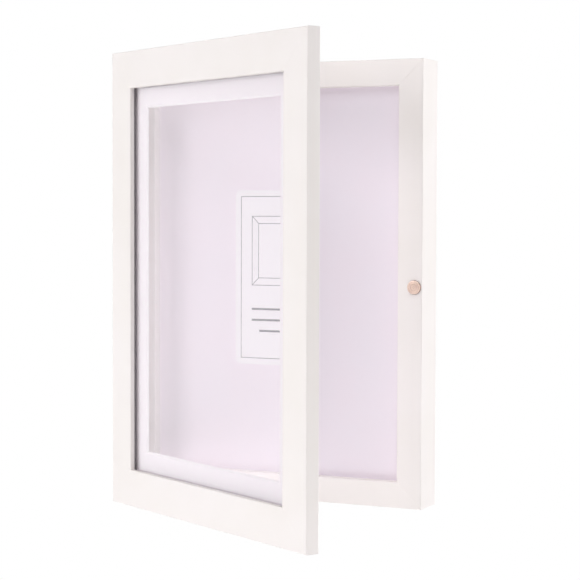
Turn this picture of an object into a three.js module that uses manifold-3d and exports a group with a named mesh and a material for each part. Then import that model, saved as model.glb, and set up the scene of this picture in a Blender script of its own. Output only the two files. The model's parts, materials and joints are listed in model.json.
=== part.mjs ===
// Hinged photo frame for a wall: a shallow display box, and a larger glazed door with a mat on its left edge.
// Millimetres, +Z up, front towards -Y. The origin is the middle of the box's back.
import * as THREE from 'three';
import { mergeVertices } from 'three/addons/utils/BufferGeometryUtils.js';
import Module from 'manifold-3d';

const wasm = await Module();
wasm.setup();

// Door moulding: a flat face, a thin lip over the glass and a rebate behind it
const doorWidth = 285;
const doorHeight = 380;
const doorThickness = 11.5;
const doorFace = 30.7;
const doorLip = 3.8;
const doorRebate = 6;

// Box moulding: a deep bar with a lip round the display and a ledge for the back
const doorOverhang = 12.5;
const boxDepth = 32;
const boxFace = 20.7;
const boxRebate = 6;
const recessDepth = 8;
const backLedge = 5.5;

// Edges and joints of both mouldings
const outerArris = 0.8;
const sightArris = 0.9;
const mitreGap = 0.05;

// Sheets that the mouldings hold
const glazingThickness = 2;
const matSpacerThickness = 1.8;
const matSpacerWidth = 3.5;
const matThickness = 1.5;
const matSideMargin = 14;
const matEndMargin = 15.1;
const sheetThickness = 0.4;
const displayThickness = 2.5;
const backingThickness = 3;
const spacerWidth = 5;
const edgeClearance = 0.5;
const seatGap = 0.3;

// Label card on the display sheet
const cardWidth = 74;
const cardHeight = 143.5;
const cardThickness = 0.4;
const cardCorner = 4;
const cardRise = 3.2;

// Butt hinges
const openAngle = THREE.MathUtils.degToRad(29.8);
const leafThickness = 0.7;
const leafGap = 0.4;
const leafReach = 13;
const leafCorner = 1.5;
const hingeHeight = 38;
const hingeInset = 62.5;
const barrelRadius = 2.25;
const barrelBore = 1.15;
const barrelGap = 0.3;
const knuckleCount = 5;
const knuckleGap = 0.3;
const pinRadius = 1;
const pinHeadRadius = 1.7;
const pinHeadHeight = 0.6;
const hingeScrewReach = 8;
const hingeScrewSpread = 11;

// Catch: a magnet in the box and a steel strike in the door
const magnetRadius = 5.5;
const magnetProud = 1.7;
const magnetSeat = 3;
const magnetArris = 0.4;
const magnetInset = 6.5;
const magnetDrop = 1.8;
const magnetAir = 0.5;
const strikeRadius = 4.6;
const strikeThickness = 1;

// Flexible tabs that hold the glass and mat in the door
const tabWidth = 10;
const tabThickness = 0.6;
const tabSunk = 6;
const tabReach = 9;
const tabCorner = 2;
const tabInset = 95;
const tabClearance = 0.1;

// Saw-tooth hangers, their nails, and the bumpers below
const hangerLength = 44;
const hangerHeight = 8;
const hangerThickness = 0.8;
const hangerRise = 1.4;
const hangerFoot = 9;
const hangerRamp = 2;
const hangerInset = 60;
const toothCount = 9;
const toothDepth = 1.8;
const nailHeadRadius = 1.8;
const nailHeadHeight = 0.6;
const nailRadius = 0.7;
const nailLength = 10;
const bumperRadius = 4;
const bumperInset = 12;
const bumperRound = 0.8;

// Screws: head radius, shank radius and length under the head's face
const hingeScrew = { head: 2.1, shank: 1, length: 8 };
const backingScrew = { head: 2, shank: 1, length: 10 };
const magnetScrew = { head: 2.4, shank: 1.1, length: 13 };
const strikeScrew = { head: 2.2, shank: 1.1, length: 7 };
const screwTip = 1.6;
const driveDepth = 0.8;
const driveShare = 0.62;
const driveSlotShare = 0.16;
const drillClearance = 0.12;
const backingScrewInset = 67.5;
const overrun = 2;

// Fineness of the curves
const arrisSteps = 5;
const barrelSteps = 20;
const screwSteps = 16;
const discSteps = 32;
const domeSteps = 3;
const arcShare = 0.5523;

// Sizes that follow from the ones above
const boxWidth = doorWidth - 2 * doorOverhang;
const boxHeight = doorHeight - 2 * doorOverhang;
const closedGap = seatGap + leafThickness + leafGap + leafThickness;
const boxWall = boxFace - boxRebate;
const doorWall = doorFace - doorRebate;
const boxFront = -boxDepth;
const doorBack = boxFront - closedGap;
const doorFront = doorBack - doorThickness;
const axisX = -boxWidth / 2 - barrelGap - barrelRadius;
const axisY = doorBack + seatGap + barrelRadius;
const magnetX = boxWidth / 2 - magnetInset;
const magnetZ = -magnetDrop;

const finishes = {
  whitePaint: { color: 0xf8f4f1, roughness: 0.42, metalness: 0 },
  glass: { color: 0xf4f3f6, roughness: 0.04, metalness: 0, transparent: true, opacity: 0.2 },
  blackBoard: { color: 0x3b3a3c, roughness: 0.95, metalness: 0 },
  matBoard: { color: 0xfaf5f9, roughness: 0.9, metalness: 0 },
  lilacPaper: { color: 0xe9dfe9, roughness: 0.85, metalness: 0 },
  whiteCard: { color: 0xf7f5f7, roughness: 0.6, metalness: 0 },
  greyBoard: { color: 0xb9b2a8, roughness: 0.9, metalness: 0 },
  hardboard: { color: 0x8a6547, roughness: 0.75, metalness: 0 },
  softwood: { color: 0xd9bd92, roughness: 0.7, metalness: 0 },
  roseMetal: { color: 0xe4c7b7, roughness: 0.32, metalness: 1 },
  nickel: { color: 0xd2d0cc, roughness: 0.3, metalness: 1 },
  zincSteel: { color: 0xb7bbbf, roughness: 0.4, metalness: 1 },
  rubber: { color: 0x33312f, roughness: 0.8, metalness: 0 },
};

// Drops normals and uvs, joins shared corners and leaves out triangles with no area
function welded(geometry) {
  const bare = geometry.clone();
  for (const key of Object.keys(bare.attributes)) if (key !== 'position') bare.deleteAttribute(key);
  bare.clearGroups();
  const merged = mergeVertices(bare);
  const corners = merged.index.array;
  const kept = [];
  for (let i = 0; i < corners.length; i += 3) {
    const [a, b, c] = [corners[i], corners[i + 1], corners[i + 2]];
    if (a !== b && b !== c && c !== a) kept.push(a, b, c);
  }
  merged.setIndex(kept);
  return merged;
}

function solid(geometry) {
  const body = welded(geometry);
  const vertProperties = Float32Array.from(body.getAttribute('position').array);
  const triVerts = Uint32Array.from(body.index.array);
  return new wasm.Manifold(new wasm.Mesh({ numProp: 3, vertProperties, triVerts }));
}

function surface(body) {
  const mesh = body.getMesh();
  const geometry = new THREE.BufferGeometry();
  geometry.setAttribute('position', new THREE.BufferAttribute(Float32Array.from(mesh.vertProperties), 3));
  geometry.setIndex(Array.from(mesh.triVerts));
  return geometry;
}

function joined(geometries) {
  return surface(geometries.map(solid).reduce((all, next) => all.add(next)));
}

function without(geometry, cutters) {
  return surface(cutters.map(solid).reduce((body, cutter) => body.subtract(cutter), solid(geometry)));
}

function piece(frame, name, geometry, finish) {
  const material = new THREE.MeshStandardMaterial({ ...finishes[finish], flatShading: true });
  const mesh = new THREE.Mesh(welded(geometry), material);
  mesh.name = name;
  frame.add(mesh);
  return mesh;
}

// Cuts cutters that are placed in frame out of a mesh that may stand in another frame
function cut(mesh, cutters, frame) {
  root.updateMatrixWorld(true);
  const intoMesh = mesh.matrixWorld.clone().invert().multiply(frame.matrixWorld);
  mesh.geometry = without(mesh.geometry, cutters.map((cutter) => cutter.clone().applyMatrix4(intoMesh)));
}

// A closed outline through corners [across, up, radius], each corner eased by its radius
function outline(corners) {
  const path = new THREE.Shape();
  const point = (i) => new THREE.Vector2(...corners[(i + corners.length) % corners.length]);
  corners.forEach(([, , radius = 0], i) => {
    const corner = point(i);
    const enter = point(i - 1).sub(corner).setLength(radius).add(corner);
    const leave = point(i + 1).sub(corner).setLength(radius).add(corner);
    if (i === 0) path.moveTo(enter.x, enter.y);
    else path.lineTo(enter.x, enter.y);
    if (radius > 0) {
      const first = enter.clone().lerp(corner, arcShare);
      const second = leave.clone().lerp(corner, arcShare);
      path.bezierCurveTo(first.x, first.y, second.x, second.y, leave.x, leave.y);
    }
  });
  path.closePath();
  return path;
}

function rectangle(width, height, radius = 0) {
  const [x, z] = [width / 2, height / 2];
  return outline([[-x, -z, radius], [x, -z, radius], [x, z, radius], [-x, z, radius]]);
}

// A board parallel to the wall: outline in x and z, back face at y = 0, front face at y = -thickness
function slab(shape, thickness) {
  const options = { depth: thickness, bevelEnabled: false, curveSegments: arrisSteps };
  return new THREE.ExtrudeGeometry(shape, options).rotateX(Math.PI / 2);
}

function turned(profile, steps) {
  return new THREE.LatheGeometry(profile.map(([radius, y]) => new THREE.Vector2(radius, y)), steps);
}

// A length of moulding along x with both ends mitred: the profile runs inward along z and forward along -y
function mitredBar(profile, length) {
  const options = { depth: 1, bevelEnabled: false, curveSegments: arrisSteps };
  const geometry = new THREE.ExtrudeGeometry(outline(profile), options);
  const at = geometry.getAttribute('position');
  for (let i = 0; i < at.count; i++) {
    const [inward, forward, end] = [at.getX(i), at.getY(i), 2 * at.getZ(i) - 1];
    at.setXYZ(i, end * (length / 2 - inward - mitreGap), -forward, inward);
  }
  return geometry;
}

// Four frames of reference round a rectangle, each with z inward from its own outer edge
function sideFrames(parent, width, height, back) {
  const sides = {
    rail_bottom: { quarter: 0, length: width, reach: height / 2 },
    stile_left: { quarter: 1, length: height, reach: width / 2 },
    rail_top: { quarter: 2, length: width, reach: height / 2 },
    stile_right: { quarter: 3, length: height, reach: width / 2 },
  };
  for (const side of Object.values(sides)) {
    side.frame = new THREE.Group();
    side.frame.rotation.y = side.quarter * Math.PI / 2;
    side.frame.position.set(0, back, -side.reach).applyEuler(side.frame.rotation);
    parent.add(side.frame);
  }
  return sides;
}

// A countersunk screw with its head's face at y = 0 and its point towards -y; grown, it is its own hole
function screwShape({ head, shank, length }, grow = 0) {
  const top = grow > 0 ? overrun : 0;
  const profile = [
    [0, -length - grow], [shank + grow, screwTip - length - grow], [shank + grow, shank - head],
    [head + grow, 0], ...(top > 0 ? [[head + grow, top]] : []), [0, top],
  ];
  const body = turned(profile, screwSteps);
  if (grow > 0) return body;
  const [arm, slot, deep] = [2 * head * driveShare, 2 * head * driveSlotShare, 2 * driveDepth];
  return without(body, [new THREE.BoxGeometry(arm, deep, slot), new THREE.BoxGeometry(slot, deep, arm)]);
}

// Sets a screw with its head on the front or back of what it holds, and drills each mesh it goes through
function fasten(frame, name, screw, [x, y, z], facesFront, through) {
  const mesh = piece(frame, name, screwShape(screw), 'zincSteel');
  mesh.position.set(x, y, z);
  mesh.rotation.x = facesFront ? Math.PI : 0;
  mesh.updateMatrix();
  const hole = screwShape(screw, drillClearance).applyMatrix4(mesh.matrix);
  for (const held of through) cut(held, [hole], frame);
}

const root = new THREE.Group();
root.name = 'hinged_photo_frame';
const box = new THREE.Group();
const doorSwing = new THREE.Group();
const door = new THREE.Group();
doorSwing.position.set(axisX, axisY, 0);
doorSwing.rotation.z = -openAngle;
door.position.set(-axisX, -axisY, 0);
doorSwing.add(door);
root.add(box, doorSwing);

// The two mouldings
const doorProfile = [
  [0, 0, sightArris], [doorWall, 0], [doorWall, doorThickness - doorLip], [doorFace, doorThickness - doorLip],
  [doorFace, doorThickness, sightArris], [0, doorThickness, outerArris],
];
const boxProfile = [
  [0, 0, sightArris], [boxWall - backLedge, 0], [boxWall - backLedge, backingThickness],
  [boxWall, backingThickness], [boxWall, boxDepth - recessDepth], [boxFace, boxDepth - recessDepth],
  [boxFace, boxDepth, sightArris], [0, boxDepth, outerArris],
];

function mouldings(sides, prefix, profile) {
  for (const [name, side] of Object.entries(sides)) {
    side.bar = piece(side.frame, prefix + name, mitredBar(profile, side.length), 'whitePaint');
  }
}

const doorSides = sideFrames(door, doorWidth, doorHeight, doorBack);
mouldings(doorSides, 'door_', doorProfile);
const boxSides = sideFrames(box, boxWidth, boxHeight, 0);
mouldings(boxSides, 'box_', boxProfile);

// Door filling: glazing behind the lip, a ring that keeps the mat off it, and the mat with a bevelled window
const fillingWidth = doorWidth - 2 * (doorWall + edgeClearance);
const fillingHeight = doorHeight - 2 * (doorWall + edgeClearance);
const glazingBack = doorFront + doorLip + seatGap + glazingThickness;
const ringFront = glazingBack + seatGap;
const ringBack = ringFront + matSpacerThickness;
const matFront = ringBack + seatGap;
const matBack = matFront + matThickness;

// A ring with four flat sides, lofted through rectangles [half width, y, half height] and back to the first
function rectangularRing(loops) {
  const corners = [[-1, -1], [1, -1], [1, 1], [-1, 1]];
  const points = loops.flatMap(([x, y, z]) => corners.map(([sx, sz]) => [sx * x, y, sz * z]));
  const triangles = [];
  loops.forEach((_, i) => {
    const [from, to] = [i * corners.length, ((i + 1) % loops.length) * corners.length];
    corners.forEach((__, j) => {
      const k = (j + 1) % corners.length;
      triangles.push(from + j, to + j, from + k, from + k, to + j, to + k);
    });
  });
  const geometry = new THREE.BufferGeometry();
  geometry.setAttribute('position', new THREE.Float32BufferAttribute(points.flat(), 3));
  geometry.setIndex(triangles);
  return geometry;
}

const pane = slab(rectangle(fillingWidth, fillingHeight), glazingThickness);
piece(door, 'door_glazing', pane, 'glass').position.y = glazingBack;

const [ringX, ringZ] = [fillingWidth / 2 - matSpacerWidth, fillingHeight / 2 - matSpacerWidth];
piece(door, 'mat_spacer', rectangularRing([
  [fillingWidth / 2, ringFront, fillingHeight / 2],
  [fillingWidth / 2, ringBack, fillingHeight / 2],
  [ringX, ringBack, ringZ],
  [ringX, ringFront, ringZ],
]), 'blackBoard');

const windowX = doorWidth / 2 - doorFace - matSideMargin;
const windowZ = doorHeight / 2 - doorFace - matEndMargin;
piece(door, 'mat_board', rectangularRing([
  [fillingWidth / 2, matFront, fillingHeight / 2],
  [fillingWidth / 2, matBack, fillingHeight / 2],
  [windowX - matThickness, matBack, windowZ - matThickness],
  [windowX, matFront, windowZ],
]), 'matBoard');

// Flexible tabs, driven into the rebate's wall just behind the mat
const tabY = matBack - doorBack + seatGap + tabThickness;
const tabShape = outline([
  [0, -tabSunk], [tabWidth / 2, tabCorner - tabSunk], [tabWidth / 2, tabReach, tabCorner],
  [-tabWidth / 2, tabReach, tabCorner], [-tabWidth / 2, tabCorner - tabSunk],
]);
const tabAlong = doorHeight / 2 - tabInset;
let tabNumber = 0;
for (const [name, side] of Object.entries(doorSides)) {
  for (const along of name.startsWith('stile') ? [-tabAlong, tabAlong] : [0]) {
    tabNumber += 1;
    const tab = piece(side.frame, `door_tab_${tabNumber}`, slab(tabShape, tabThickness), 'zincSteel');
    tab.position.set(along, tabY, doorWall);
    const deep = tabSunk + tabClearance + overrun;
    const slot = new THREE.BoxGeometry(tabWidth + 2 * tabClearance, tabThickness + 2 * tabClearance, deep);
    slot.translate(along, tabY - tabThickness / 2, doorWall + overrun - deep / 2);
    cut(side.bar, [slot], side.frame);
  }
}

// Box filling: the sheet and card on show, the board behind them, spacers and the back
const displayWidth = boxWidth - 2 * (boxWall + edgeClearance);
const displayHeight = boxHeight - 2 * (boxWall + edgeClearance);
const sheetFront = boxFront + recessDepth;
const sheetBack = sheetFront + sheetThickness;
const displayBack = sheetBack + displayThickness;

const sheet = slab(rectangle(displayWidth, displayHeight), sheetThickness);
piece(box, 'insert_sheet', sheet, 'lilacPaper').position.y = sheetBack;
const card = slab(rectangle(cardWidth, cardHeight, cardCorner), cardThickness);
piece(box, 'label_card', card, 'whiteCard').position.set(0, sheetFront, cardRise);
const display = slab(rectangle(displayWidth, displayHeight), displayThickness);
piece(box, 'display_board', display, 'greyBoard').position.y = displayBack;

const spacerDepth = -backingThickness - displayBack;
for (const [name, side] of Object.entries(boxSides)) {
  const atEnds = name.startsWith('stile') ? edgeClearance : 2 * edgeClearance + spacerWidth;
  const strip = slab(rectangle(side.length - 2 * (boxWall + atEnds), spacerWidth), spacerDepth);
  const spacer = piece(side.frame, `spacer_${name.split('_')[1]}`, strip, 'softwood');
  spacer.position.set(0, -backingThickness, boxWall + edgeClearance + spacerWidth / 2);
}

const backingInset = boxWall - backLedge + edgeClearance;
const backingShape = rectangle(boxWidth - 2 * backingInset, boxHeight - 2 * backingInset);
const backing = piece(box, 'backing_board', slab(backingShape, backingThickness), 'hardboard');
const backingScrewAlong = boxHeight / 2 - backingScrewInset;
let backingScrewNumber = 0;
for (const [name, side] of Object.entries(boxSides)) {
  for (const along of name.startsWith('stile') ? [-backingScrewAlong, backingScrewAlong] : [0]) {
    backingScrewNumber += 1;
    const seat = [along, 0, boxWall - backLedge / 2];
    fasten(side.frame, `backing_screw_${backingScrewNumber}`, backingScrew, seat, false, [backing, side.bar]);
  }
}

// One knuckle seen from above, rolled round the axis, with an arm between two depths out to the plate
function knuckleShape(armFront, armBack, armEnd) {
  const [frontX, backX] = [armFront, armBack].map((y) => Math.sqrt(Math.max(0, barrelRadius ** 2 - y ** 2)));
  const shape = new THREE.Shape();
  shape.moveTo(frontX, armFront);
  shape.lineTo(armEnd, armFront);
  shape.lineTo(armEnd, armBack);
  shape.lineTo(backX, armBack);
  shape.absarc(0, 0, barrelRadius, Math.atan2(armBack, backX), Math.atan2(armFront, frontX), false);
  const bore = new THREE.Path();
  bore.absarc(0, 0, barrelBore, 0, 2 * Math.PI, true);
  shape.holes.push(bore);
  return shape;
}

// A leaf about its own axis: a plate with rounded outer corners and every second knuckle from first on
function hingeLeaf(first, armFront) {
  const armBack = armFront + leafThickness;
  const plateStart = barrelRadius + knuckleGap;
  const [low, high] = [-hingeHeight / 2, hingeHeight / 2];
  const plate = slab(outline([
    [plateStart, low], [leafReach, low, leafCorner], [leafReach, high, leafCorner], [plateStart, high],
  ]), leafThickness).translate(0, armBack, 0);
  const pitch = hingeHeight / knuckleCount;
  const knuckles = [];
  for (let k = first; k < knuckleCount; k += 2) {
    const options = { depth: pitch - knuckleGap, bevelEnabled: false, curveSegments: barrelSteps };
    const shape = knuckleShape(armFront, armBack, plateStart + leafThickness);
    const knuckle = new THREE.ExtrudeGeometry(shape, options);
    knuckles.push(knuckle.translate(0, 0, low + k * pitch + knuckleGap / 2));
  }
  return joined([plate, ...knuckles]);
}

function hingePin() {
  const end = hingeHeight / 2;
  return turned([
    [0, -end - pinHeadHeight], [pinHeadRadius, -end - pinHeadHeight],
    [pinHeadRadius, -end], [pinRadius, -end], [pinRadius, end], [pinHeadRadius, end],
    [pinHeadRadius, end + pinHeadHeight], [0, end + pinHeadHeight],
  ], barrelSteps).rotateX(Math.PI / 2);
}

const boxLeafFront = boxFront - leafThickness - axisY;
const doorLeafFront = doorBack + seatGap - axisY;
const hingeRise = boxHeight / 2 - hingeInset;
for (const [place, height] of [['upper', hingeRise], ['lower', -hingeRise]]) {
  const boxLeaf = piece(box, `hinge_${place}_box_leaf`, hingeLeaf(0, boxLeafFront), 'nickel');
  boxLeaf.position.set(axisX, axisY, height);
  const doorLeaf = piece(door, `hinge_${place}_door_leaf`, hingeLeaf(1, doorLeafFront), 'nickel');
  doorLeaf.position.set(axisX, axisY, height);
  piece(box, `hinge_${place}_pin`, hingePin(), 'nickel').position.set(axisX, axisY, height);
  for (const [number, rise] of [[1, hingeScrewSpread], [2, -hingeScrewSpread]]) {
    const boxSeat = [axisX + hingeScrewReach, boxFront - leafThickness, height + rise];
    const boxName = `hinge_${place}_box_screw_${number}`;
    fasten(box, boxName, hingeScrew, boxSeat, true, [boxLeaf, boxSides.stile_left.bar]);
    const doorSeat = [axisX + hingeScrewReach, doorBack + seatGap + leafThickness, height + rise];
    const doorName = `hinge_${place}_door_screw_${number}`;
    fasten(door, doorName, hingeScrew, doorSeat, false, [doorLeaf, doorSides.stile_left.bar]);
  }
}

// Catch magnet, bored into the box's right stile, and the strike let into the door opposite
const magnetFront = boxFront - magnetProud;
const magnetShape = turned([
  [0, -magnetSeat - magnetProud], [magnetRadius, -magnetSeat - magnetProud], [magnetRadius, -magnetArris],
  [magnetRadius - magnetArris, 0], [0, 0],
], discSteps);
const magnet = piece(box, 'catch_magnet', magnetShape, 'roseMetal');
magnet.position.set(magnetX, magnetFront, magnetZ);
magnet.rotation.x = Math.PI;
const socketDepth = magnetSeat + overrun;
const socketRadius = magnetRadius + drillClearance;
const socket = new THREE.CylinderGeometry(socketRadius, socketRadius, socketDepth, discSteps);
socket.translate(magnetX, boxFront + magnetSeat - socketDepth / 2, magnetZ);
cut(boxSides.stile_right.bar, [socket], box);
const magnetMiddle = [magnetX, magnetFront, magnetZ];
fasten(box, 'catch_magnet_screw', magnetScrew, magnetMiddle, true, [magnet, boxSides.stile_right.bar]);

const strikeFace = magnetFront - magnetAir;
const strikeDisc = new THREE.CylinderGeometry(strikeRadius, strikeRadius, strikeThickness, discSteps);
const strike = piece(door, 'strike_plate', strikeDisc, 'zincSteel');
strike.position.set(magnetX, strikeFace - strikeThickness / 2, magnetZ);
const recessBottom = strikeFace - strikeThickness - seatGap;
const recessLength = doorBack + overrun - recessBottom;
const recessRadius = strikeRadius + seatGap;
const recess = new THREE.CylinderGeometry(recessRadius, recessRadius, recessLength, discSteps);
recess.translate(magnetX, recessBottom + recessLength / 2, magnetZ);
cut(doorSides.stile_right.bar, [recess], door);
const strikeMiddle = [magnetX, strikeFace, magnetZ];
fasten(door, 'strike_screw', strikeScrew, strikeMiddle, false, [strike, doorSides.stile_right.bar]);

// Saw-tooth hangers on the back of the top rail, with their middles raised off the wood
function hangerShape() {
  const [end, foot] = [hangerLength / 2, hangerLength / 2 - hangerFoot];
  const ramp = foot - hangerRamp;
  const section = outline([
    [-end, 0], [-foot, 0], [-ramp, hangerRise], [ramp, hangerRise], [foot, 0], [end, 0],
    [end, hangerThickness], [foot, hangerThickness], [ramp, hangerRise + hangerThickness],
    [-ramp, hangerRise + hangerThickness], [-foot, hangerThickness], [-end, hangerThickness],
  ]);
  const strip = new THREE.ExtrudeGeometry(section, { depth: hangerHeight, bevelEnabled: false });
  strip.translate(0, 0, -hangerHeight / 2);
  const pitch = 2 * ramp / toothCount;
  const low = -hangerHeight / 2;
  const notches = [];
  for (let k = 0; k < toothCount; k++) {
    const middle = -ramp + (k + 1 / 2) * pitch;
    const side = pitch / 2 * (toothDepth + overrun) / toothDepth;
    const notch = outline([
      [middle - side, low - overrun], [middle + side, low - overrun], [middle, low + toothDepth],
    ]);
    notches.push(slab(notch, hangerLength).translate(0, hangerLength / 2, 0));
  }
  return without(strip, notches);
}

const nailShape = turned([
  [0, -nailLength], [nailRadius, screwTip - nailLength], [nailRadius, 0], [nailHeadRadius, 0],
  [nailHeadRadius, nailHeadHeight], [0, nailHeadHeight],
], screwSteps);
const nailHole = new THREE.CylinderGeometry(
  nailRadius + drillClearance, nailRadius + drillClearance, 2 * (nailLength + drillClearance), screwSteps);
const backFaceMiddle = (boxWall - backLedge) / 2;
const hangerAcross = boxWidth / 2 - hangerInset;
for (const [place, across] of [['left', -hangerAcross], ['right', hangerAcross]]) {
  const height = boxHeight / 2 - backFaceMiddle;
  const hanger = piece(box, `hanger_${place}`, hangerShape(), 'zincSteel');
  hanger.position.set(across, 0, height);
  for (const [number, way] of [[1, -1], [2, 1]]) {
    const nailX = across + way * (hangerLength - hangerFoot) / 2;
    const nail = piece(box, `hanger_${place}_nail_${number}`, nailShape, 'zincSteel');
    nail.position.set(nailX, hangerThickness, height);
    const hole = nailHole.clone().translate(nailX, hangerThickness, height);
    cut(hanger, [hole], box);
    cut(boxSides.rail_top.bar, [hole], box);
  }
}

// Rubber bumpers at the bottom corners, as thick as the hangers stand off
const bumperHeight = hangerRise + hangerThickness;
const bumperEdge = Array.from({ length: domeSteps + 1 }, (_, k) => {
  const angle = (k / domeSteps) * Math.PI / 2;
  const inset = bumperRound * (1 - Math.cos(angle));
  return [bumperRadius - inset, bumperHeight - bumperRound + bumperRound * Math.sin(angle)];
});
for (const [place, way] of [['left', -1], ['right', 1]]) {
  const bumper = turned([[0, 0], [bumperRadius, 0], ...bumperEdge, [0, bumperHeight]], discSteps);
  piece(box, `bumper_${place}`, bumper, 'rubber')
    .position.set(way * (boxWidth / 2 - bumperInset), 0, backFaceMiddle - boxHeight / 2);
}

export default root;
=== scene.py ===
import json
import math

import bpy
from mathutils import Matrix, Vector

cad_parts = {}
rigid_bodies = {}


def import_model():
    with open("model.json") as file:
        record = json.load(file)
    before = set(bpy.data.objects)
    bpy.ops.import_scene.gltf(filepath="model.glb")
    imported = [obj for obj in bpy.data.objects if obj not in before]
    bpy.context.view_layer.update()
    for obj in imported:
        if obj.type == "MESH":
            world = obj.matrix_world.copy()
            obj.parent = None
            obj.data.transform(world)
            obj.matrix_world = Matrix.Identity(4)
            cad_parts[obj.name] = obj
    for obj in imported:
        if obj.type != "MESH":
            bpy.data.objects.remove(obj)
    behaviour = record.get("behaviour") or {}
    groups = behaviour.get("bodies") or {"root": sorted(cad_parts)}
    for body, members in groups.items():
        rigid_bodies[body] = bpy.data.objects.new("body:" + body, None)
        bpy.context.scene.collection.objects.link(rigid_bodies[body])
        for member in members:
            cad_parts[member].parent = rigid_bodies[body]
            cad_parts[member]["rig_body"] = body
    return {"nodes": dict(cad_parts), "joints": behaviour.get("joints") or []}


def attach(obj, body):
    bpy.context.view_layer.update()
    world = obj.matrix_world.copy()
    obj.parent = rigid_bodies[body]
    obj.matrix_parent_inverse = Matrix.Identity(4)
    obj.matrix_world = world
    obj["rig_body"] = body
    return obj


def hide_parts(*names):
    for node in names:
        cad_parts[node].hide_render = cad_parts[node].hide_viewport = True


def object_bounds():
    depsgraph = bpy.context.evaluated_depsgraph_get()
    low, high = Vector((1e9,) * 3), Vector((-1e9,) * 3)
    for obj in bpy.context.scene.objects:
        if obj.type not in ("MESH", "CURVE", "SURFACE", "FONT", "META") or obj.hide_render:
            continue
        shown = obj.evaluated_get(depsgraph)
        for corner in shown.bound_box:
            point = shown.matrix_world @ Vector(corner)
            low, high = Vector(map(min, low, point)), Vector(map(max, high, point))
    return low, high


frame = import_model()
cad_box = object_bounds()

MM = 0.001

# Ways along a body's own axes, and the sides of a box that they point to
MIDDLE = (0, 0, 0)
FRONT = (0, -1, 0)
BACK = (0, 1, 0)
DOWN = (0, 0, -1)
UP = (0, 0, 1)

# Each body's turn at rest: the door stands open by the angle that its hinge still has to go to close
DOOR_TURN = math.radians(frame["joints"][0]["range_deg"][0])
TURNS = {"box": Matrix.Identity(4), "door": Matrix.Rotation(DOOR_TURN, 4, "Z")}

# The camera of the photograph: place in metres, angles in degrees, focal length and picture side in pixels,
# sensor width in millimetres
CAMERA_PLACE = (0.62819, -1.32361, 0.05954)
CAMERA_YAW = 25.38
CAMERA_PITCH = -2.632
CAMERA_ROLL = 0.166
CAMERA_FOCAL = 1762
PHOTO_SIDE = 580
SENSOR_WIDTH = 36

# Square area lamps as (name, place, aim, side, watts), in metres, and a faint glow that falls from above
LAMPS = (
    ("key_front_left", (-1.5, -2.2, 1.0), (0.0, 0.0, 0.0), 1.6, 10.6),
    ("near_front_left", (-0.9, -1.5, 0.6), (0.0, -0.05, 0.0), 0.8, 6.2),
    ("soft_left", (-1.6, -0.24, -0.05), (0.0, -0.1, 0.0), 1.3, 6.6),
    ("low_left", (-0.95, -0.9, -0.35), (-0.1, -0.05, 0.0), 0.5, 1.4),
    ("rim_back_right", (1.6, 1.1, 0.4), (0.1, 0.0, 0.0), 1.4, 27.5),
    ("top_front", (0.25, -1.1, 1.2), (0.0, -0.05, 0.0), 0.8, 6.4),
    ("top_right", (0.6, -0.5, 1.1), (0.0, -0.05, 0.0), 0.6, 2.6),
    ("low_right", (0.5, -0.7, -0.55), (0.05, -0.1, 0.0), 0.5, 1.8),
    ("under", (0.15, -0.3, -0.32), (0.15, -0.3, 0.0), 0.9, 0.7),
)
CEILING_GLOW = 0.2

# The floor below the hung frame in metres, how bright it looks, and how strongly it shows light and shadow
FLOOR_DROP = 0.7
FLOOR_RADIUS = 3.0
FLOOR_STEPS = 96
FLOOR_GLOW = 0.85
FLOOR_SHADE = 0.3

# Soft noise lies mostly between these values
NOISE_SPAN = (0.3, 0.7)

# The light that a pane lets through, and how squarely a face of the mat looks ahead to count as its front
PANE_CLEARNESS = "#F7F6F7"
SQUARE_AHEAD = 0.9

# Angles between faces in degrees: up to which they shade as one, up to which they merge into one, and from
# which their edge is eased, in so many steps
SMOOTH_ANGLE = 40
FLAT_ANGLE = 1
EASED_ANGLE = 35
EASED_STEPS = 2

# Millimetres within which a CAD mesh's points are one, and by which stamped metal has its edges eased
MERGE = 0.002
LEAF_EASE = 0.12
HANGER_EASE = 0.1
TAB_EASE = 0.08

# Steps round a turned piece: a disc, a bumper, and a screw, nail or pin
DISC_STEPS = 96
BUMPER_STEPS = 64
THIN_STEPS = 40

# Screws in millimetres: radius and length of the point, radii of the shanks and the rim of the head
SCREW_POINT = 0.15
SCREW_TIP = 1.6
WOOD_SHANK = 1.0
CATCH_SHANK = 1.1
HEAD_RIM = 0.12
BACKING_SCREWS = 6

# A screw's cross recess in shares of its head's radius, and its floor as a share of its mouth
RECESS_ARM = 0.62
RECESS_SLOT = 0.26
RECESS_DEPTH = 0.45
RECESS_TAPER = 0.6

# Nails: the head's rise and the shank's rings as (radius, depth below the crown) in millimetres, the angles
# of the dome's rings in radians, and the least step that keeps two rings apart
NAIL_DOME = 0.6
NAIL_SHANK = ((0.1, 9.2), (0.7, 8.0), (0.7, NAIL_DOME))
NAIL_ANGLES = (0, 0.3, 0.6, 0.9, 1.2, 1.45)
NAIL_STEP = 0.001

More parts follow.
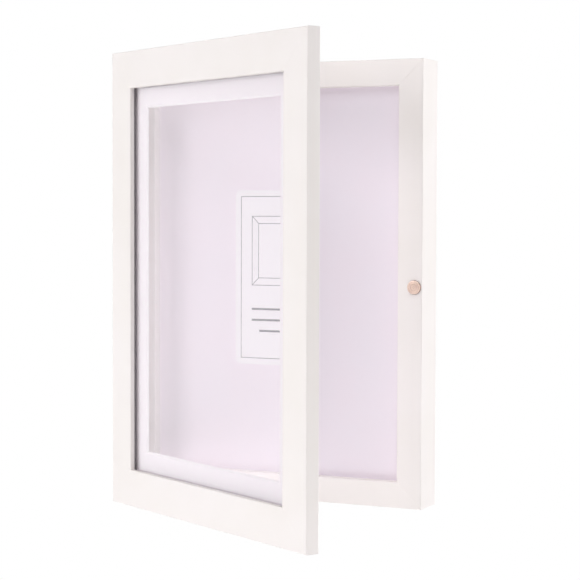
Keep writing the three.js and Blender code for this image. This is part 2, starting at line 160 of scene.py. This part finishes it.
# Profiles of turned pieces in millimetres: a foot's rings lie (in from the outer radius, up from the foot), a
# rim's (in from the outer radius, down from the top), a hollow's have (their own radius, down from the top)
MAGNET_FOOT = ((0.2, 0), (0, 0.2))
MAGNET_RIM = ((0, 0.55), (0.1, 0.25), (0.3, 0.07), (0.55, 0), (1.0, 0))
MAGNET_GROOVE = ((1.1, 0.18), (1.35, 0.18), (1.45, 0.02))
MAGNET_HOLLOW = ((2.75, 0.02), (2.5, 0.3))
STRIKE_FOOT = ((0.1, 0), (0, 0.1))
STRIKE_RIM = ((0, 0.2), (0.2, 0))
STRIKE_HOLLOW = ((2.6, 0), (2.35, 0.25))
PIN_HEAD = ((0.6, 0), (0.25, 0.08), (0, 0.3), (0, 0.6))
PIN_RADIUS = 1.0
BUMPER_FOOT = ((0.15, 0), (0, 0.15))
BUMPER_ROUND = 0.8
BUMPER_ROUND_STEPS = 8
BUMPER_TOP = (1.6, 0)
BUMPER_HOLLOW = ((0.5, 0.12),)

DOOR_TABS = 6

# The card's print, in millimetres from the card's middle
INK_THICKNESS = 0.02
INK_LINE = 0.5
INK_BAR = 1.6
PRINT_INSET = 5.0
PRINT_FRAME_WIDTH = 44.0
PRINT_FRAME_SHAPE = 1.3
PRINT_FRAME_RISE = 22.0
PRINT_MOULDING = 6.0
PRINT_RULES = (44.0, 44.0, 30.0)
PRINT_RULES_TOP = -26.0
PRINT_RULES_PITCH = 9.0


def linear(hex_colour):
    """An sRGB hex colour as the linear RGBA that shaders take."""
    shares = [int(hex_colour[i:i + 2], 16) / 255 for i in (1, 3, 5)]
    return (*[s / 12.92 if s <= 0.04045 else ((s + 0.055) / 1.055) ** 2.4 for s in shares], 1)


def per(size):
    """The texture scale at which one cell of a pattern measures size millimetres."""
    return 1 / (size * MM)


def add(tree, kind, inputs=None, **settings):
    """Adds a shader node with its settings; an input is a value or the output that it is linked to."""
    node = tree.nodes.new("ShaderNode" + kind)
    for name, value in settings.items():
        setattr(node, name, value)
    for key, value in (inputs or {}).items():
        if isinstance(value, bpy.types.NodeSocket):
            tree.links.new(value, node.inputs[key])
        else:
            node.inputs[key].default_value = value
    return node


def new_material(name):
    """An empty material and its tree."""
    material = bpy.data.materials.new(name)
    material.use_nodes = True
    material.node_tree.nodes.clear()
    return material, material.node_tree


def own_axes(tree, body, stretch=(1, 1, 1), centre=MIDDLE):
    """Object coordinates along a body's own axes, about centre, for a pattern drawn out by stretch."""
    place = add(tree, "TexCoord").outputs["Object"]
    back = -TURNS[body].to_euler().z
    turned_back = add(tree, "Mapping", {"Vector": place, "Rotation": (0, 0, back)}).outputs["Vector"]
    moved = add(tree, "VectorMath", {0: turned_back, 1: centre}, operation="SUBTRACT").outputs["Vector"]
    return add(tree, "VectorMath", {0: moved, 1: stretch}, operation="DIVIDE").outputs["Vector"]


def pattern(tree, body, size, detail=2, roughness=0.5, stretch=(1, 1, 1), centre=MIDDLE):
    """Soft noise along a body's own axes, in cells of size millimetres that are drawn out by stretch."""
    place = own_axes(tree, body, stretch, centre)
    inputs = {"Vector": place, "Scale": per(size), "Detail": detail, "Roughness": roughness}
    return add(tree, "TexNoise", inputs).outputs["Fac"]


def looking(tree, way):
    """How squarely a surface looks towards way: 1 straight at it, 0 across it."""
    normal = add(tree, "TexCoord").outputs["Normal"]
    return add(tree, "VectorMath", {0: normal, 1: way}, operation="DOT_PRODUCT").outputs["Value"]


def toned(tree, values, first, second, span=NOISE_SPAN, most=1):
    """Goes from the first colour towards the second, as far as the share most, while values rise over span.

    A colour is a hex value or an output.
    """
    inputs = {"Value": values, "From Min": span[0], "From Max": span[1], "To Max": most}
    share = add(tree, "MapRange", inputs).outputs["Result"]
    colours = [linear(colour) if isinstance(colour, str) else colour for colour in (first, second)]
    mixed = add(tree, "MixRGB", {"Fac": share, "Color1": colours[0], "Color2": colours[1]})
    return mixed.outputs["Color"]


def surfaced(material, colour, relief, depth, roughness, haze=None, **sockets):
    """Finishes a material: its colour, its roughness and a relief that is depth millimetres high.

    Where haze is given, the roughness goes from its first value to its second over that pattern.
    """
    tree = material.node_tree
    if haze is not None:
        inputs = {
            "Value": haze, "From Min": NOISE_SPAN[0], "From Max": NOISE_SPAN[1],
            "To Min": roughness[0], "To Max": roughness[1],
        }
        roughness = add(tree, "MapRange", inputs).outputs["Result"]
    normal = add(tree, "Bump", {"Height": relief, "Distance": depth * MM}).outputs["Normal"]
    inputs = {"Base Color": colour, "Roughness": roughness, "Normal": normal, **sockets}
    shader = add(tree, "BsdfPrincipled", inputs)
    add(tree, "OutputMaterial", {"Surface": shader.outputs["BSDF"]})
    return material


# Satin white lacquer sprayed on planed wood: an even, slightly warm white with a faint orange peel
def sprayed_lacquer(body):
    material, tree = new_material("satin_white_lacquer_" + body)
    haze = pattern(tree, body, size=22)
    peel = pattern(tree, body, size=2.6, detail=1)
    colour = toned(tree, pattern(tree, body, size=70), "#FAF4F3", "#F7F1EE")
    return surfaced(material, colour, peel, depth=0.012, roughness=(0.4, 0.5), haze=haze, IOR=1.5)


# Float glass: clear, with a trace of tint and the very slow wave that the melt leaves; lamps shine straight
# through it, and it takes a little of their light
def float_glass(body):
    material, tree = new_material("float_glass")
    wave = pattern(tree, body, size=90, detail=0)
    normal = add(tree, "Bump", {"Height": wave, "Distance": 0.02 * MM}).outputs["Normal"]
    inputs = {"Base Color": linear("#F8F4F7"), "Roughness": 0, "IOR": 1.5, "Transmission Weight": 1}
    glass = add(tree, "BsdfPrincipled", {**inputs, "Normal": normal}).outputs["BSDF"]
    rays = add(tree, "LightPath").outputs
    inputs = {0: rays["Is Shadow Ray"], 1: rays["Is Diffuse Ray"]}
    from_lamps = add(tree, "Math", inputs, operation="MAXIMUM").outputs["Value"]
    clear = add(tree, "BsdfTransparent", {"Color": linear(PANE_CLEARNESS)}).outputs["BSDF"]
    mixed = add(tree, "MixShader", {"Fac": from_lamps, 1: glass, 2: clear})
    add(tree, "OutputMaterial", {"Surface": mixed.outputs["Shader"]})
    return material


# Mat board: a toothed off-white face paper on a pure white core, which shows on the cut bevel
def toothed_mat_board(body):
    material, tree = new_material("bevel_cut_mat_board")
    fibres = pattern(tree, body, size=1.1, detail=3, roughness=0.7)
    face = toned(tree, pattern(tree, body, size=60), "#FEFAFD", "#FCF8FB")
    ahead = looking(tree, TURNS[body] @ Vector(FRONT))
    front = add(tree, "Math", {0: ahead, 1: SQUARE_AHEAD}, operation="GREATER_THAN").outputs["Value"]
    colour = toned(tree, front, "#FDFAFC", face)
    return surfaced(material, colour, fibres, depth=0.03, roughness=(0.85, 0.95), haze=fibres, IOR=1.45)


# Uncoated lilac paper: soft pulp clouds and a fine tooth
def lilac_paper(body):
    material, tree = new_material("uncoated_lilac_paper")
    fibres = pattern(tree, body, size=0.9, detail=4, roughness=0.65)
    colour = toned(tree, pattern(tree, body, size=45, detail=3), "#F3EBF4", "#F4EAF3")
    return surfaced(material, colour, fibres, depth=0.02, roughness=(0.8, 0.92), haze=fibres, IOR=1.45)


# Coated white card: smoother and brighter than the paper round it
def coated_card(body):
    material, tree = new_material("coated_white_card")
    fibres = pattern(tree, body, size=1.6)
    colour = toned(tree, pattern(tree, body, size=30), "#F9F6FA", "#F7F5F8")
    return surfaced(material, colour, fibres, depth=0.01, roughness=(0.5, 0.6), haze=fibres, IOR=1.5)


# Matt grey ink, a little uneven where the card takes it up
def grey_ink(body):
    material, tree = new_material("matt_grey_ink")
    uptake = pattern(tree, body, size=0.8, detail=3)
    colour = toned(tree, uptake, "#57525C", "#67626C")
    return surfaced(material, colour, uptake, depth=0.005, roughness=(0.6, 0.75), haze=uptake, IOR=1.5)


# Grey pulp board with darker recycled flecks
def pulp_board(body):
    material, tree = new_material("grey_pulp_board")
    flecks = pattern(tree, body, size=1.8, detail=4, roughness=0.8)
    colour = toned(tree, flecks, "#BDB7AE", "#8F8A82", span=(0.35, 0.7))
    return surfaced(material, colour, flecks, depth=0.05, roughness=0.9, IOR=1.45)


# Charcoal board greyed by its fibres, matt, with paler scuffs; its dark tone is painted shade along the
# glass's edge, where the mat lies in the lip's shadow
def charcoal_shade_board(body):
    material, tree = new_material("charcoal_painted_shade_board")
    fibres = pattern(tree, body, size=1.2, detail=4, roughness=0.7)
    colour = toned(tree, fibres, "#6C696D", "#787579")
    return surfaced(material, colour, fibres, depth=0.04, roughness=0.92, IOR=1.45)


# Hardboard: pressed brown wood fibre, smooth and slightly shiny on its outer face
def pressed_hardboard(body):
    material, tree = new_material("brown_hardboard")
    fibres = pattern(tree, body, size=2.2, detail=5, roughness=0.75, stretch=(1, 1, 2.5))
    ground = toned(tree, pattern(tree, body, size=35, detail=3), "#8F6747", "#7F5B3D")
    colour = toned(tree, fibres, ground, "#5E4029", span=(0.45, 0.75), most=0.55)
    return surfaced(material, colour, fibres, depth=0.06, roughness=(0.5, 0.7), haze=fibres, IOR=1.5)


# Sawn softwood with growth lines along the strip
def sawn_softwood(body):
    material, tree = new_material("sawn_softwood")
    grain = pattern(tree, body, size=1.5, detail=4, roughness=0.6, stretch=(30, 1, 30))
    colour = toned(tree, grain, "#E2C79E", "#C9A878")
    return surfaced(material, colour, grain, depth=0.05, roughness=0.7, IOR=1.5)


# Rose plating on turned steel: pale copper pink, with painted shade that darkens its side to a brown, and
# fine rings from the lathe, which are drawn wider apart than a lathe leaves them so that they show
def rose_plating(body, centre):
    material, tree = new_material("rose_plated_steel")
    place = own_axes(tree, body, centre=centre)
    inputs = {"Vector": place, "Scale": per(0.9), "Distortion": 0.6, "Detail": 1}
    rings = add(tree, "TexWave", inputs, wave_type="RINGS", rings_direction="Y").outputs["Fac"]
    haze = pattern(tree, body, size=3.5, centre=centre)
    face = toned(tree, haze, "#DCC7B9", "#D2BBAE")
    # Painted shade: as the faces turn from the front to the cup's side, the colour goes down to a dark brown
    colour = toned(tree, looking(tree, FRONT), "#8F6F68", face, span=(0.2, 0.8))
    return surfaced(material, colour, rings, depth=0.01, roughness=(0.3, 0.42), haze=haze, Metallic=1)


# Nickel plate on stamped steel: warm grey, hazed by tumbling, with fine rubs along the leaf
def tumbled_nickel(body):
    material, tree = new_material("tumbled_nickel_plate")
    rubs = pattern(tree, body, size=0.5, detail=3, stretch=(1, 1, 12))
    haze = pattern(tree, body, size=5)
    colour = toned(tree, haze, "#D3CFC9", "#C3BEB6")
    return surfaced(material, colour, rubs, depth=0.008, roughness=(0.24, 0.4), haze=haze, Metallic=1)


# Bright zinc on steel: cool grey with a faint yellow and blue passivation bloom; its grit is drawn coarse
# enough to show
def bright_zinc(body):
    material, tree = new_material("bright_zinc_plate_" + body)
    bloom = pattern(tree, body, size=6)
    grit = pattern(tree, body, size=0.4)
    colour = toned(tree, bloom, "#C3C8CE", "#CDC9BE")
    return surfaced(material, colour, grit, depth=0.006, roughness=(0.3, 0.45), haze=bloom, Metallic=1)


# Moulded black rubber with a trace of bloom and a spark-eroded skin, which is drawn coarse enough to show
def moulded_rubber(body):
    material, tree = new_material("moulded_black_rubber")
    skin = pattern(tree, body, size=0.35)
    colour = toned(tree, pattern(tree, body, size=3), "#2B2A29", "#383635")
    return surfaced(material, colour, skin, depth=0.02, roughness=(0.65, 0.8), haze=skin, IOR=1.52)


def dress(names, material):
    """Gives CAD nodes a finish."""
    for name in names:
        mesh = frame["nodes"][name].data
        mesh.materials.clear()
        mesh.materials.append(material)


def named(*starts):
    """The CAD nodes whose names start with any of these words."""
    return [name for name in frame["nodes"] if name.startswith(starts)]


def own_box(node):
    """Lowest and highest corner of a CAD node along the axes of its own body."""
    carried = frame["nodes"][node]
    back = TURNS[carried["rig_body"]].inverted()
    points = [back @ vertex.co for vertex in carried.data.vertices]
    return [Vector([pick(point[i] for point in points) for i in range(3)]) for pick in (min, max)]


def size_of(node):
    """The width, depth and height of a CAD node in millimetres."""
    return [(high - low) / MM for low, high in zip(*own_box(node))]


def point_on(node, side):
    """The middle of a side of a CAD node's own box, or of the whole box."""
    low, high = own_box(node)
    places = zip(low, (low + high) / 2, high)
    return Vector([ends[way + 1] for ends, way in zip(places, side)])


def new_object(name, data):
    """An object with this data, in the scene."""
    made = bpy.data.objects.new(name, data)
    bpy.context.scene.collection.objects.link(made)
    return made


def copy_of(piece, name):
    """A copy of a piece with its own mesh."""
    return new_object(name, piece.data.copy())


def pick_out(piece):
    """Selects one piece alone and makes it the active one."""
    bpy.ops.object.select_all(action="DESELECT")
    piece.select_set(True)
    bpy.context.view_layer.objects.active = piece


def edit(piece):
    """Opens a piece for editing with all of it selected."""
    pick_out(piece)
    bpy.ops.object.mode_set(mode="EDIT")
    bpy.ops.mesh.select_all(action="SELECT")


def finish_edit(piece):
    """Closes an edited piece, with its faces outwards and shaded as one up to the smooth angle."""
    bpy.ops.mesh.select_all(action="SELECT")
    bpy.ops.mesh.normals_make_consistent(inside=False)
    bpy.ops.object.mode_set(mode="OBJECT")
    bpy.ops.object.shade_smooth_by_angle(angle=math.radians(SMOOTH_ANGLE))
    return piece


def settle(piece):
    """Moves a piece's place, turn and scale into its mesh."""
    pick_out(piece)
    bpy.ops.object.transform_apply(location=True, rotation=True, scale=True)
    return piece


def apply_change(piece, kind, **settings):
    """Adds a modifier to a piece and applies it."""
    change = piece.modifiers.new(kind.lower(), kind)
    for name, value in settings.items():
        setattr(change, name, value)
    bpy.context.view_layer.objects.active = piece
    bpy.ops.object.modifier_apply(modifier=change.name)


def profile(radius, height, foot, rim, hollow):
    """Rings for a turned piece: foot and rim are measured in from its radius, a hollow has its own radii."""
    rings = [(radius - inward, up) for inward, up in foot]
    rings += [(radius - inward, height - down) for inward, down in rim]
    return rings + [(own, height - down) for own, down in hollow]


def turned(name, rings, steps):
    """A piece turned about +Z: a disc at the first ring, extruded and drawn in or out to each next one."""
    radius, height = rings[0]
    place = (0, 0, height * MM)
    bpy.ops.mesh.primitive_circle_add(vertices=steps, radius=radius * MM, fill_type="NGON", location=place)
    piece = bpy.context.object
    piece.name = name
    edit(piece)
    for (old, low), (new, high) in zip(rings, rings[1:]):
        bpy.ops.mesh.extrude_region_move(TRANSFORM_OT_translate={"value": (0, 0, (high - low) * MM)})
        bpy.ops.transform.resize(value=(new / old, new / old, 1), center_override=(0, 0, high * MM))
    return settle(finish_edit(piece))


def eased_copy(node, name, width):
    """A CAD node's shape as one merged mesh with its edges eased by width millimetres."""
    piece = copy_of(frame["nodes"][node], name)
    edit(piece)
    bpy.ops.mesh.customdata_custom_splitnormals_clear()
    bpy.ops.mesh.remove_doubles(threshold=MERGE * MM)
    bpy.ops.mesh.dissolve_limited(angle_limit=math.radians(FLAT_ANGLE))
    bpy.ops.object.mode_set(mode="OBJECT")
    apply_change(
        piece, "BEVEL", width=width * MM, segments=EASED_STEPS, limit_method="ANGLE",
        angle_limit=math.radians(EASED_ANGLE),
    )
    edit(piece)
    return finish_edit(piece)


def cross_recess(arm, slot, depth):
    """The cutter of a cross recess, centred on the head's face: a block with an arm out of each side."""
    bpy.ops.mesh.primitive_cube_add(size=1, scale=(slot * MM, slot * MM, 2 * depth * MM))
    cutter = settle(bpy.context.object)
    # The faces that look sideways are drawn out into the arms
    for face in cutter.data.polygons:
        face.select = abs(face.normal.z) < 0.5
    bpy.ops.object.mode_set(mode="EDIT")
    bpy.ops.mesh.select_mode(type="FACE")
    bpy.ops.mesh.extrude_faces_move(TRANSFORM_OT_shrink_fatten={"value": (arm - slot / 2) * MM})
    bpy.ops.object.mode_set(mode="OBJECT")
    # The lower end is drawn in
    for vertex in cutter.data.vertices:
        vertex.select = vertex.co.z < 0
    for part in (*cutter.data.edges, *cutter.data.polygons):
        part.select = False
    bpy.ops.object.mode_set(mode="EDIT")
    bpy.ops.mesh.select_mode(type="VERT")
    bpy.ops.transform.resize(value=(RECESS_TAPER, RECESS_TAPER, 1), center_override=(0, 0, 0))
    return finish_edit(cutter)


def countersunk_screw(head, shank, length):
    """A countersunk screw with a cross recess, its head's face at 0 and its point down."""
    rings = [
        (SCREW_POINT, -length), (shank, SCREW_TIP - length), (shank, shank - head), (head, -HEAD_RIM),
        (head - HEAD_RIM / 2, 0),
    ]
    screw = turned("screw", rings, THIN_STEPS)
    cutter = cross_recess(head * RECESS_ARM, head * RECESS_SLOT, head * RECESS_DEPTH)
    apply_change(screw, "BOOLEAN", object=cutter, operation="DIFFERENCE", solver="EXACT")
    bpy.data.objects.remove(cutter)
    edit(screw)
    return finish_edit(screw)


def round_nail(head):
    """A nail with a domed head, its crown at 0 and its point down."""
    rings = [(radius, -depth) for radius, depth in NAIL_SHANK] + [(head, -NAIL_DOME)]
    for angle in NAIL_ANGLES:
        rings.append((head * math.cos(angle), NAIL_DOME * math.sin(angle) - NAIL_DOME + NAIL_STEP))
    return turned("nail", rings, THIN_STEPS)


def seat(piece, body, place, up):
    """Sets a piece made about +Z at a place in its body's own axes, with +Z towards up."""
    turn = Vector(UP).rotation_difference(Vector(up)).to_matrix().to_4x4()
    piece.matrix_world = TURNS[body] @ Matrix.Translation(place) @ turn
    return settle(piece)


def join_body(piece, body, finish):
    """Gives a new piece the material of its finish and the body that it rides on; the slot named in the
    finish is not used.
    """
    material, slot = finish
    piece.data.materials.clear()
    piece.data.materials.append(material)
    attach(piece, body)


def stand_for(piece, node, finish, side=None, up=None):
    """Puts a piece in place of a node; one made about +Z is seated on the node's side, with +Z towards up."""
    body = frame["nodes"][node]["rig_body"]
    if up is not None:
        seat(piece, body, point_on(node, side), up)
    join_body(piece, body, finish)
    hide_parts(node)


def drive(piece, nodes, finish, ahead):
    """Sets a copy of a screw or nail in place of each node, with its head ahead, and removes the first."""
    for node in nodes:
        stand_for(copy_of(piece, node + "_turned"), node, finish, side=ahead, up=ahead)
    bpy.data.objects.remove(piece)


def drive_screws(nodes, finish, ahead, shank):
    """Puts screws of the size of the first of these nodes in place of them all."""
    width, length = size_of(nodes[0])[:2]
    drive(countersunk_screw(width / 2, shank, length), nodes, finish, ahead)


def make_catch(rose, zinc):
    """A plated cup magnet, grooved round its core, and a steel strike let into the door's back."""
    width, height = size_of("catch_magnet")[:2]
    rings = profile(width / 2, height, MAGNET_FOOT, MAGNET_RIM + MAGNET_GROOVE, MAGNET_HOLLOW)
    stand_for(turned("catch_magnet_cup", rings, DISC_STEPS), "catch_magnet", rose, side=BACK, up=FRONT)
    drive_screws(["catch_magnet_screw"], rose, FRONT, CATCH_SHANK)
    width, height = size_of("strike_plate")[:2]
    rings = profile(width / 2, height, STRIKE_FOOT, STRIKE_RIM, STRIKE_HOLLOW)
    stand_for(turned("strike_disc", rings, DISC_STEPS), "strike_plate", zinc, side=FRONT, up=BACK)
    drive_screws(["strike_screw"], zinc, BACK, CATCH_SHANK)


def make_hinges(nickel):
    """Stamped leaves with eased edges and their screws, and headed pins."""
    for level in ("upper", "lower"):
        for body, ahead in (("box", FRONT), ("door", BACK)):
            leaf = f"hinge_{level}_{body}_leaf"
            stand_for(eased_copy(leaf, leaf + "_stamped", LEAF_EASE), leaf, nickel[body])
            screws = [f"hinge_{level}_{body}_screw_{number}" for number in (1, 2)]
            drive_screws(screws, nickel[body], ahead, WOOD_SHANK)
        pin = f"hinge_{level}_pin"
        width, height = size_of(pin)[::2]
        rings = [(width / 2 - inward, up) for inward, up in PIN_HEAD]
        rings.append((PIN_RADIUS, rings[-1][1]))
        rings += [(radius, height - up) for radius, up in reversed(rings)]
        stand_for(turned(pin + "_headed", rings, THIN_STEPS), pin, nickel["box"], side=DOWN, up=UP)


def make_back(zinc, rubber):
    """The backing board's screws, stamped saw-tooth hangers with their nails, and rubber bumpers."""
    screws = [f"backing_screw_{number + 1}" for number in range(BACKING_SCREWS)]
    drive_screws(screws, zinc, BACK, WOOD_SHANK)
    edge = []
    for step in range(BUMPER_ROUND_STEPS + 1):
        angle = math.radians(90) * step / BUMPER_ROUND_STEPS
        edge.append((BUMPER_ROUND * (1 - math.cos(angle)), BUMPER_ROUND * (1 - math.sin(angle))))
    for side in ("left", "right"):
        hanger = f"hanger_{side}"
        stand_for(eased_copy(hanger, hanger + "_stamped", HANGER_EASE), hanger, zinc)
        bumper = f"bumper_{side}"
        width, height = size_of(bumper)[:2]
        rings = profile(width / 2, height, BUMPER_FOOT, [*edge, BUMPER_TOP], BUMPER_HOLLOW)
        stand_for(turned(bumper + "_moulded", rings, BUMPER_STEPS), bumper, rubber, side=FRONT, up=BACK)
    nails = [f"hanger_{side}_nail_{number}" for side in ("left", "right") for number in (1, 2)]
    drive(round_nail(size_of(nails[0])[0] / 2), nails, zinc, BACK)


def make_tabs(zinc):
    """Flexible tabs that hold the glass and the mat in the door."""
    for number in range(DOOR_TABS):
        tab = f"door_tab_{number + 1}"
        stand_for(eased_copy(tab, tab + "_stamped", TAB_EASE), tab, zinc)


def ink_outline(width, height, middle):
    """Adds a rectangular rule of ink to the flat print that is open for editing."""
    place = (0, middle * MM, 0)
    bpy.ops.mesh.primitive_plane_add(size=1, location=place)
    bpy.ops.transform.resize(value=(width * MM, height * MM, 1), center_override=place)
    bpy.ops.mesh.inset(thickness=INK_LINE * MM, use_even_offset=True)
    bpy.ops.mesh.delete(type="FACE")


def ink_bar(length, width, middle, angle=0):
    """Adds a bar of ink, turned by angle about its middle, to the flat print that is open for editing."""
    place = (middle[0] * MM, middle[1] * MM, 0)
    bpy.ops.mesh.primitive_plane_add(size=1, location=place)
    bpy.ops.transform.resize(value=(length * MM, width * MM, 1), center_override=place)
    bpy.ops.transform.rotate(value=-angle, orient_axis="Z", center_override=place)


def make_print(ink):
    """The card's plain print: a border, a line drawing of a mitred frame and a few rules below it."""
    width, height = size_of("label_card")[::2]
    piece = new_object("card_print", bpy.data.meshes.new("card_print"))
    edit(piece)
    ink_outline(width - 2 * PRINT_INSET, height - 2 * PRINT_INSET, 0)
    outer = Vector((PRINT_FRAME_WIDTH, PRINT_FRAME_WIDTH * PRINT_FRAME_SHAPE))
    inner = outer - 2 * Vector((PRINT_MOULDING, PRINT_MOULDING))
    for size in (outer, inner):
        ink_outline(size.x, size.y, PRINT_FRAME_RISE)
    mitre = (outer + inner) / 4
    for across in (-1, 1):
        for up in (-1, 1):
            place = (across * mitre.x, PRINT_FRAME_RISE + up * mitre.y)
            ink_bar(PRINT_MOULDING * math.sqrt(2), INK_LINE, place, math.radians(45) * across * up)
    for number, length in enumerate(PRINT_RULES):
        ink_bar(length, INK_BAR, (0, PRINT_RULES_TOP - number * PRINT_RULES_PITCH))
    bpy.ops.mesh.select_all(action="SELECT")
    bpy.ops.mesh.extrude_region_move(TRANSFORM_OT_translate={"value": (0, 0, INK_THICKNESS * MM)})
    seat(finish_edit(piece), "box", point_on("label_card", FRONT), FRONT)
    join_body(piece, "box", ink)


def look_from_camera():
    """The camera at the photograph's place and angles."""
    data = bpy.data.cameras.new("camera")
    data.sensor_width = SENSOR_WIDTH
    data.lens = CAMERA_FOCAL / PHOTO_SIDE * SENSOR_WIDTH
    camera = new_object("camera", data)
    camera.matrix_world = (
        Matrix.Translation(CAMERA_PLACE)
        @ Matrix.Rotation(math.radians(CAMERA_YAW), 4, "Z")
        @ Matrix.Rotation(math.radians(90 + CAMERA_PITCH), 4, "X")
        @ Matrix.Rotation(math.radians(CAMERA_ROLL), 4, "Z")
    )
    bpy.context.scene.camera = camera


def seen_rays(tree):
    """1 for rays that show the background as it looks: from the camera, in a mirror or through glass."""
    rays = add(tree, "LightPath").outputs
    inputs = {0: rays["Is Camera Ray"], 1: rays["Is Glossy Ray"]}
    near = add(tree, "Math", inputs, operation="MAXIMUM").outputs["Value"]
    inputs = {0: near, 1: rays["Is Transmission Ray"]}
    return add(tree, "Math", inputs, operation="MAXIMUM").outputs["Value"]


def light_the_room():
    """White all round to the eye; on the object, the lamps and a faint glow from above."""
    world = bpy.data.worlds.new("white_room")
    bpy.context.scene.world = world
    world.use_nodes = True
    tree = world.node_tree
    tree.nodes.clear()
    way = add(tree, "TexCoord").outputs["Generated"]
    height = add(tree, "VectorMath", {0: way, 1: UP}, operation="DOT_PRODUCT").outputs["Value"]
    above = add(tree, "Math", {0: height, 1: 0}, operation="MAXIMUM").outputs["Value"]
    glow = add(tree, "Math", {0: above, 1: CEILING_GLOW}, operation="MULTIPLY").outputs["Value"]
    white = linear("#FFFFFF")
    light = add(tree, "Background", {"Color": white, "Strength": glow}).outputs["Background"]
    seen = add(tree, "Background", {"Color": white, "Strength": 1}).outputs["Background"]
    mixed = add(tree, "MixShader", {"Fac": seen_rays(tree), 1: light, 2: seen})
    add(tree, "OutputWorld", {"Surface": mixed.outputs["Shader"]})
    for name, place, aim, side, watts in LAMPS:
        data = bpy.data.lights.new(name, "AREA")
        data.shape = "SQUARE"
        data.size = side
        data.energy = watts
        lamp = new_object(name, data)
        lamp.location = place
        lamp.rotation_euler = (Vector(aim) - Vector(place)).to_track_quat("-Z", "Y").to_euler()
        lamp.visible_camera = False


def lay_floor():
    """A pale floor well below the hung frame; it takes the frame's shadow and gives light back."""
    place = (0, 0, cad_box[0].z - FLOOR_DROP)
    bpy.ops.mesh.primitive_circle_add(
        vertices=FLOOR_STEPS, radius=FLOOR_RADIUS, fill_type="NGON", location=place,
    )
    floor = bpy.context.object
    floor.name = "floor"
    material, tree = new_material("pale_floor")
    pale = add(tree, "BsdfDiffuse", {"Color": linear("#EFEEED")}).outputs["BSDF"]
    glow = add(tree, "Emission", {"Strength": FLOOR_GLOW}).outputs["Emission"]
    shade = add(tree, "BsdfDiffuse", {"Color": (FLOOR_SHADE, FLOOR_SHADE, FLOOR_SHADE, 1)}).outputs["BSDF"]
    shown = add(tree, "AddShader", {0: glow, 1: shade}).outputs["Shader"]
    mixed = add(tree, "MixShader", {"Fac": seen_rays(tree), 1: pale, 2: shown})
    add(tree, "OutputMaterial", {"Surface": mixed.outputs["Shader"]})
    floor.data.materials.append(material)


look_from_camera()
light_the_room()
lay_floor()

lacquer = {body: sprayed_lacquer(body) for body in TURNS}
dress(named("door_rail", "door_stile"), lacquer["door"])
dress(named("box_rail", "box_stile"), lacquer["box"])
dress(["door_glazing"], float_glass("door"))
dress(["mat_board"], toothed_mat_board("door"))
# The spacer ring's charcoal is painted shade along the edge of the glass
dress(["mat_spacer"], charcoal_shade_board("door"))
dress(["insert_sheet"], lilac_paper("box"))
dress(["label_card"], coated_card("box"))
dress(["display_board"], pulp_board("box"))
dress(["backing_board"], pressed_hardboard("box"))
dress(named("spacer"), sawn_softwood("box"))

zinc_steel = {body: (bright_zinc(body), "zinc_steel") for body in TURNS}
nickel_steel = {body: (tumbled_nickel(body), "nickel_steel") for body in TURNS}
rose_steel = (rose_plating("box", point_on("catch_magnet", MIDDLE)), "rose_plating")

make_catch(rose_steel, zinc_steel["door"])
make_hinges(nickel_steel)
make_back(zinc_steel["box"], (moulded_rubber("box"), "black_rubber"))
make_print((grey_ink("box"), "white_card"))
make_tabs(zinc_steel["door"])

bpy.context.scene.view_settings.view_transform = "Standard"
